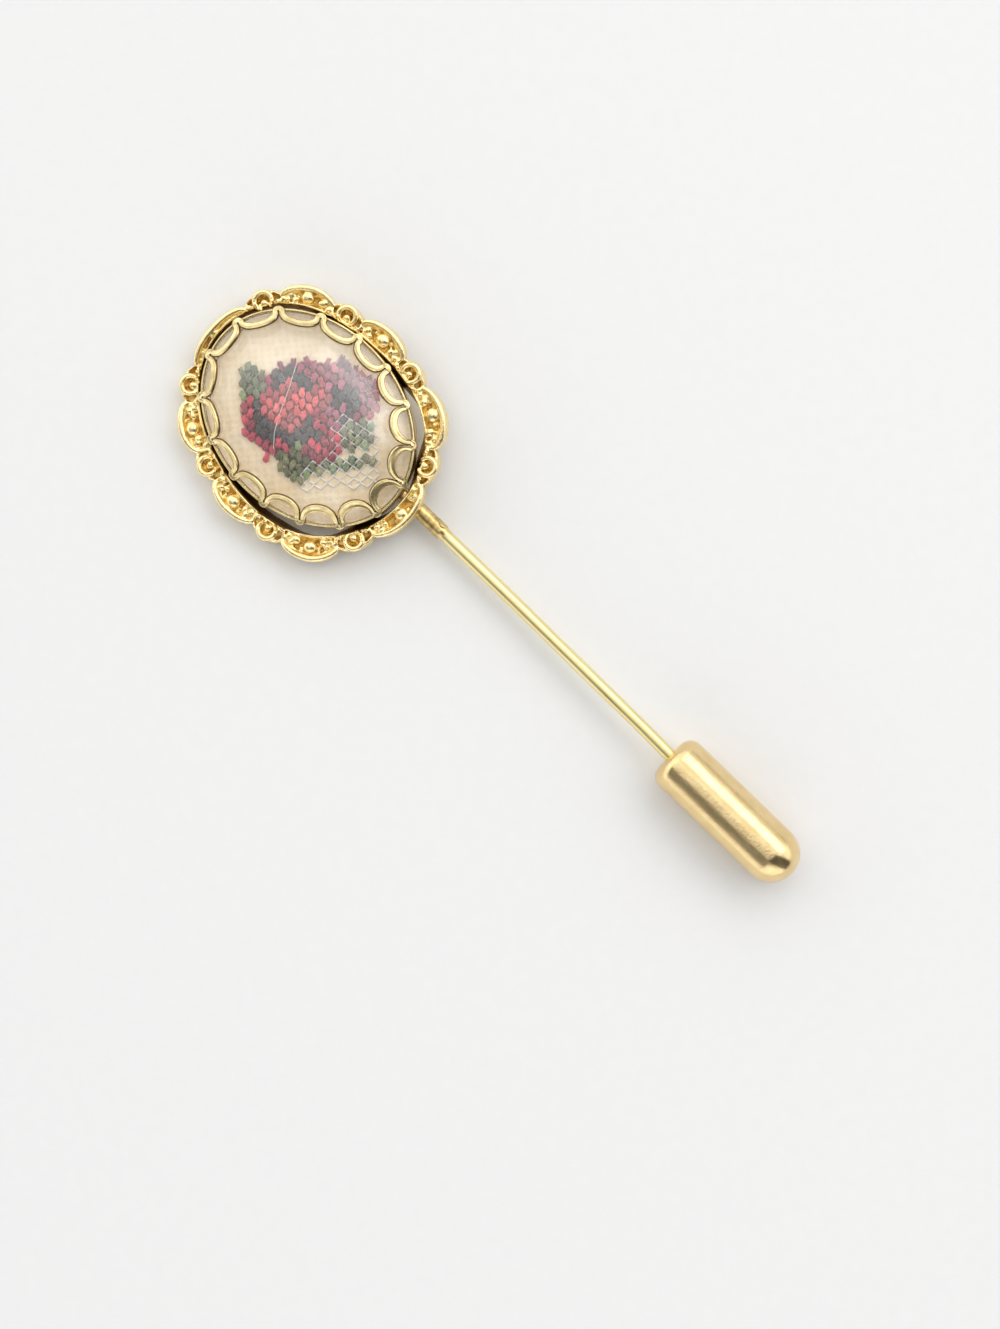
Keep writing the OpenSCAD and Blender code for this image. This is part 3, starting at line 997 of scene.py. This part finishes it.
clutch = {
    "mouth": 39.22,
    "length": 13.6,
    "radius": 2.35,
    "mouthRound": 1.1,
    "boreRadius": 0.6,
    "boreDepth": 10.7,
    "aside": 0.08,
}


def clutchSpot(turn, row):
    return barSpot(turn, row, clutch["aside"])


def makeClutch():
    m, r, e, b = clutch["mouth"], clutch["radius"], clutch["mouthRound"], clutch["boreRadius"]
    bottom = m + clutch["boreDepth"]
    rows = [(bottom, 0), (bottom, b), (m + 0.12, b), (m + 0.03, b + 0.04), (m, b + 0.12)]
    for k in range(13):
        a = radians(90 * k / 12)
        rows.append((m + e * (1 - cos(a)), r - e * (1 - sin(a))))
    end = m + clutch["length"]
    for k in range(1, 6):
        rows.append((m + e + (end - r - m - e) * k / 6, r))
    for k in range(25):
        a = radians(90 * k / 24)
        rows.append((end - r + r * sin(a), r * cos(a)))
    piece = extrudedRings("turned_clutch", 96, rows, clutchSpot)

    pale = Finish("pale_clutch_gold")
    pale.fix({"Metallic": 1.0})
    haze = pale.ramp(pale.grain(0.8, 5), [(0.3, (0.79, 0.59, 0.29)), (0.7, (0.89, 0.69, 0.37))])
    pale.drive("Base Color", haze)
    pale.drive("Roughness", pale.between(pale.grain(2.5, 4, stretch=(0.3, 1, 1)), 0.12, 0.26))
    # turning marks along it, under a fine speckle
    marks = pale.relief(pale.grain(5, 4, stretch=(0.05, 1, 1)), 0.008)
    pale.drive("Normal", pale.relief(pale.grain(4.5, 5), 0.014, marks))
    laidDown(piece, pale, alongWire, ["bullet_clutch"], angle=40, body="clutch")
    print("clutch made")


makeClutch()

# Cloth and its stitches

cloth = {
    "foot": 0.5,
    "thick": 0.8,
    "rise": 0.35,
    "half": (9.45, 7.45),
    "pad": (8.7, 6.7),
    "flat": (0.0189, 0.0149),
    "threads": 3.6,  # threads of the ground to the millimetre
}


def clothTop(x, y):
    q = min(1.0, hypot(x / cloth["pad"][0], y / cloth["pad"][1]))
    return cloth["foot"] + cloth["thick"] + cloth["rise"] * (1 - q * q)


stitching = {
    "start": (-7.80, 0.0),
    "stepA": (0.6623, 0.0916),
    "stepB": (-0.0016, 0.7491),
    "length": 0.80,
    "lean": 17,  # degrees to either side, stitch by stitch
    "ply": 0.168,  # radius of each of the two plies
    "twist": 0.13,
    "arch": 0.27,
    "fuzz": 520,
    "seed": 5,
}

threads = {
    "leaf": (0.22, 0.24, 0.10),
    "sage": (0.31, 0.33, 0.19),
    "crimson": (0.62, 0.06, 0.10),
    "magenta": (0.46, 0.06, 0.12),
    "pink": (0.66, 0.12, 0.17),
    "charcoal": (0.085, 0.072, 0.07),
    "coral": (0.84, 0.15, 0.15),
    "mauve": (0.52, 0.12, 0.18),
    "bud": (0.20, 0.03, 0.07),
}

# Petals and leaves of the rose, later ones on top: thread, middle, half length, half width, turn in degrees
petals = [
    ("crimson", -1.94, -0.77, 3.55, 3.55, 14),
    ("crimson", 0.96, -1.89, 3.31, 1.53, 38),
    ("crimson", 1.29, 1.24, 1.61, 1.45, 44),
    ("magenta", -2.95, 2.57, 2.90, 1.16, 48),
    ("pink", -0.60, 3.50, 1.77, 1.90, 44),
    ("mauve", 1.15, 3.58, 2.50, 2.58, 44),
    ("charcoal", 1.20, 3.40, 1.20, 1.15, 44),
    ("magenta", 2.25, 5.10, 0.48, 1.05, 44),
    ("charcoal", -2.87, 1.70, 1.94, 1.13, 40),
    ("charcoal", -2.98, -2.24, 0.56, 1.53, 58),
    ("charcoal", -0.70, -2.04, 1.80, 0.72, 20),
    ("charcoal", 0.58, -0.23, 1.10, 0.70, 74),
    ("coral", -1.82, -0.25, 2.0, 1.85, 44),
    ("coral", -0.58, 2.12, 0.81, 1.13, 44),
    ("bud", -0.94, 5.49, 0.89, 0.65, 4),
    ("sage", 3.69, 1.89, 1.53, 1.21, 69),
    ("leaf", -5.75, -0.32, 1.05, 1.05, 44),
    ("leaf", -4.91, -1.18, 0.97, 0.97, 44),
    ("leaf", 1.9, -3.0, 1.61, 1.15, 24),
    ("sage", 4.80, -0.18, 2.58, 0.65, 52),
]


def threadAt(x, y):
    found = None
    for thread, cx, cy, long, short, turn in petals:
        a = radians(turn)
        u = (x - cx) * cos(a) + (y - cy) * sin(a)
        v = -(x - cx) * sin(a) + (y - cy) * cos(a)
        if (u / long) ** 2 + (v / short) ** 2 < 1:
            found = thread
    return found


def makeCloth():
    half, pad = cloth["half"], cloth["pad"]
    top = cloth["foot"] + cloth["thick"]
    rows = [(0, 0, cloth["foot"]), (*half, cloth["foot"]), (*half, top - 0.05), (*grown(half, -0.05), top)]
    for k in range(40, -1, -1):
        q = k / 40
        rows.append((pad[0] * q, pad[1] * q, top + cloth["rise"] * (1 - q * q)))
    piece = extrudedRings("petit_point_cloth", 96, rows, ovalSpot)
    # the canvas under the stitches is painted a dark shade of the wool's colour, as shade between the
    # stitches
    across = inCanvas.inverted() @ inCup
    around = ((0.35, 0), (-0.35, 0), (0, 0.35), (0, -0.35), (0, 0))
    shadesAndTints = []
    for point in piece.data.vertices:
        x, y, _ = across @ point.co
        under = [threadAt(x + dx, y + dy) for dx, dy in around]
        thread = under[-1] if None not in under and point.co.z > cloth["foot"] + 0.5 else None
        # bare cloth has gone a little browner towards its edge
        out = hypot(point.co.x / pad[0], point.co.y / pad[1])
        edge = min(1.0, max(0.0, (out - 0.72) / 0.28))
        bare = (1, 1 - 0.05 * edge, 1 - 0.15 * edge, 1)
        # painted shade under the stitches: the thread's colour at 0.3; bare cloth keeps its own tone
        shadesAndTints.append((*[0.3 * c for c in threads[thread]], 1) if thread else bare)
    giveColours(piece, "shadeAndTint", shadesAndTints)

    linen = Finish("cream_even_weave")
    # two sets of threads, each a row of ridges across one way of the canvas
    place = linen.add("TexCoord")
    weave = None
    for turn in (42.0, -52.0):
        mapping = linen.add("Mapping")
        mapping.inputs["Rotation"].default_value = (0, 0, radians(turn))
        linen.join(place.outputs["Object"], mapping.inputs["Vector"])
        ridges = linen.add("TexWave", wave_type="BANDS", bands_direction="X", Distortion=2.5,
                           Scale=cloth["threads"] / mm / 20 * pi, Detail=2.0, Detail_Scale=1.5)
        linen.join(mapping.outputs["Vector"], ridges.inputs["Vector"])
        height = ridges.outputs["Fac"]
        weave = height if weave is None else linen.mixed(0.5, weave, height)
    tone = linen.grain(0.7, 5)
    base = linen.ramp(tone, [(0.3, (0.93, 0.74, 0.48)), (0.5, (0.96, 0.80, 0.56)), (0.7, (0.98, 0.86, 0.65))])
    # the weave's low parts are painted a little darker, as painted shade between the threads
    shade = linen.ramp(weave, [(0.15, (0.94, 0.91, 0.85)), (0.55, (1.0, 1.0, 1.0))])
    shadedWeave = linen.mixed(0.8, base, shade, "MULTIPLY")
    # painted shade under the stitches, and the bare cloth's own browning towards its edge
    tinted = linen.attribute("shadeAndTint", "Color")
    linen.drive("Base Color", linen.mixed(1.0, shadedWeave, tinted, "MULTIPLY"))
    linen.fix({"Roughness": 0.9, "Sheen Weight": 0.2})
    linen.drive("Normal", linen.relief(weave, 0.03, linen.relief(linen.grain(6, 3), 0.03)))
    laidDown(piece, linen, inCup, ["petit_point"], angle=40)
    print("cloth made")
    return piece


lattice = [(i, j) for i in range(-2, 30) for j in range(-14, 16)]


def latticeSpot(i, j):
    return tuple(start + i * a + j * b for start, a, b in
                 zip(stitching["start"], stitching["stepA"], stitching["stepB"]))


def twistedStitch(lead):
    # one stitch: two plies of wool, turned round each other and pulled down into the canvas at both ends
    plies = []
    for start in (lead, lead + 180):
        spots, radii = [], []
        for k in range(5):
            share = k / 4
            a = radians(start + 250 * share)
            end = abs(2 * share - 1)
            spots.append(((share - 0.5) * stitching["length"], stitching["twist"] * cos(a),
                          0.6 * stitching["twist"] * sin(a) - stitching["arch"] * end ** 3))
            radii.append(stitching["ply"] * (1 - 0.55 * end ** 2))
        plies.append(bentRod(spots, radii, 1))
    return joined("stitch", plies)


def makeStitches():
    chance = random.Random(stitching["seed"])
    vary = chance.uniform
    stitches = [twistedStitch(lead) for lead in (0, 55, 110, 150)]
    slant = degrees(atan2(stitching["stepA"][1] - stitching["stepB"][1],
                                    stitching["stepA"][0] - stitching["stepB"][0]))
    copies, colours, stitched = [], [], []
    for i, j in lattice:
        x, y = latticeSpot(i, j)
        thread = threadAt(x, y)
        if thread is None:
            continue
        # the colours run into each other a little
        if chance.random() < 0.4:
            thread = threadAt(x + vary(-0.8, 0.8), y + vary(-0.8, 0.8)) or thread
        shade = chance.choice((0.62, 0.8, 0.95, 1.1, 1.35)) * vary(0.92, 1.08)
        lean = stitching["lean"] * (1 if (i + j) % 2 else -1)
        twist = turned(slant + lean + vary(-12, 12), "Z") @ turned(vary(-6, 6), "Y")
        size = Matrix.Diagonal((vary(0.95, 1.1), vary(0.9, 1.1), vary(0.9, 1.15), 1))
        spot = moved(x + vary(-0.04, 0.04), y + vary(-0.04, 0.04),
                     clothTop(x, y) + 0.16 + vary(0, 0.06))
        stitch = chance.choice(stitches)
        copies.append(copied(stitch, spot @ twist @ size))
        warm = vary(0.8, 1.25)
        r, g, b = threads[thread]
        colours += [(r * shade, g * shade * warm, b * shade * warm, 1)] * len(stitch.data.vertices)
        stitched.append((x, y, thread))
    for stitch in stitches:
        bpy.data.objects.remove(stitch)
    sewn = len(copies)
    # loose fibres of the wool
    fibre = bentRod([(-0.5, 0, -0.2), (0, 0.1, 0), (0.5, 0, -0.2)], [0.016, 0.018, 0.012], 0)
    for _ in range(stitching["fuzz"]):
        x, y, thread = chance.choice(stitched)
        x, y = x + vary(-0.35, 0.35), y + vary(-0.35, 0.35)
        reach = vary(0.3, 0.8)
        where = (moved(x, y, clothTop(x, y) + 0.36 + vary(0, 0.12)) @ turned(vary(0, 360), "Z")
                 @ Matrix.Diagonal((reach, vary(-1, 1), vary(0.4, 1), 1)))
        copies.append(copied(fibre, where))
        r, g, b = threads[thread]
        pale = vary(1.2, 2.4)
        tint = [min(0.8, c * pale + 0.07) for c in (r, g, b)]
        colours += [(*tint, 1)] * len(fibre.data.vertices)
    bpy.data.objects.remove(fibre)
    piece = joined("rose_stitches", copies)
    giveColours(piece, "thread", colours)

    wool = Finish("stitch_thread")
    wool.fix({"Roughness": 0.8, "Sheen Weight": 0.25, "Sheen Roughness": 0.5, "Specular IOR Level": 0.3})
    tinted = wool.attribute("thread", "Color")
    fibre = wool.grain(11, 3)
    uneven = wool.ramp(fibre, [(0.3, (0.55, 0.55, 0.55)), (0.7, (1.3, 1.3, 1.3))])
    wool.drive("Base Color", wool.mixed(1.0, tinted, uneven, "MULTIPLY"))
    wool.drive("Normal", wool.relief(fibre, 0.05))
    laidDown(piece, wool, inCanvas)
    print("stitches made,", sewn)
    return piece


gauze = {
    "strand": 0.055,
    "lift": 0.08,
    "shows": [(0.7, 2.1), (4.7, 4.0), (8.1, 0.5), (3.6, -4.7), (1.9, -3.0), (2.9, -0.2)],
}


def insideOutline(x, y, outline):
    inside = False
    for (x1, y1), (x2, y2) in zip(outline, outline[1:] + outline[:1]):
        if (y1 > y) != (y2 > y) and x < (x2 - x1) * (y - y1) / (y2 - y1) + x1:
            inside = not inside
    return inside


def makeGauze():
    # white strands of the canvas between the stitches, where they show
    strand = begun(bpy.ops.mesh.primitive_cylinder_add, vertices=6, radius=gauze["strand"], depth=1)
    strand.data.transform(turned(90, "Y"))
    copies = []
    for i, j in lattice:
        for di, dj in ((1, 0), (0, 1)):
            ends = [latticeSpot(i + 0.5, j + 0.5), latticeSpot(i + 0.5 + di, j + 0.5 + dj)]
            if not all(insideOutline(x, y, gauze["shows"]) for x, y in ends):
                continue
            low, high = [Vector((x, y, clothTop(x, y) + gauze["lift"])) for x, y in ends]
            run = high - low
            where = Matrix.Translation((low + high) / 2) @ run.to_track_quat("X", "Z").to_matrix().to_4x4()
            copies.append(copied(strand, where @ Matrix.Diagonal((run.length * 1.06, 1, 1, 1))))
    bpy.data.objects.remove(strand)
    piece = joined("canvas_strands", copies)
    cotton = Finish("white_cotton")
    tone = cotton.ramp(cotton.grain(8, 2), [(0.3, (0.90, 0.88, 0.84)), (0.7, (0.97, 0.96, 0.94))])
    cotton.drive("Base Color", tone)
    cotton.fix({"Roughness": 0.8})
    laidDown(piece, cotton, inCanvas)
    print("canvas strands made,", len(copies))
    return piece


hair = {
    "thick": 0.028,
    "lift": 0.3,
    "line": [(-3.98, 2.89), (-3.5, 1.85), (-3.04, 0.88), (-2.43, -0.72), (-1.63, -2.42), (-0.9, -3.3),
             (-0.25, -4.09)],
}


def makeHair():
    # one stray fibre caught under the glass
    spots = [(x + 0.3, y + 0.1, clothTop(x, y) + hair["lift"]) for x, y in hair["line"]]
    piece = bentRod(spots, [hair["thick"]] * len(spots), 1)
    named(piece, "stray_fibre")
    pale = Finish("pale_fibre")
    tone = pale.ramp(pale.grain(3, 2), [(0.3, (0.8, 0.74, 0.66)), (0.7, (0.92, 0.88, 0.82))])
    pale.drive("Base Color", tone)
    pale.fix({"Roughness": 0.5})
    laidDown(piece, pale, inCanvas)
    print("stray fibre made")
    return piece


panel = makeCloth()
onPanel = [makeStitches(), makeGauze(), makeHair()]
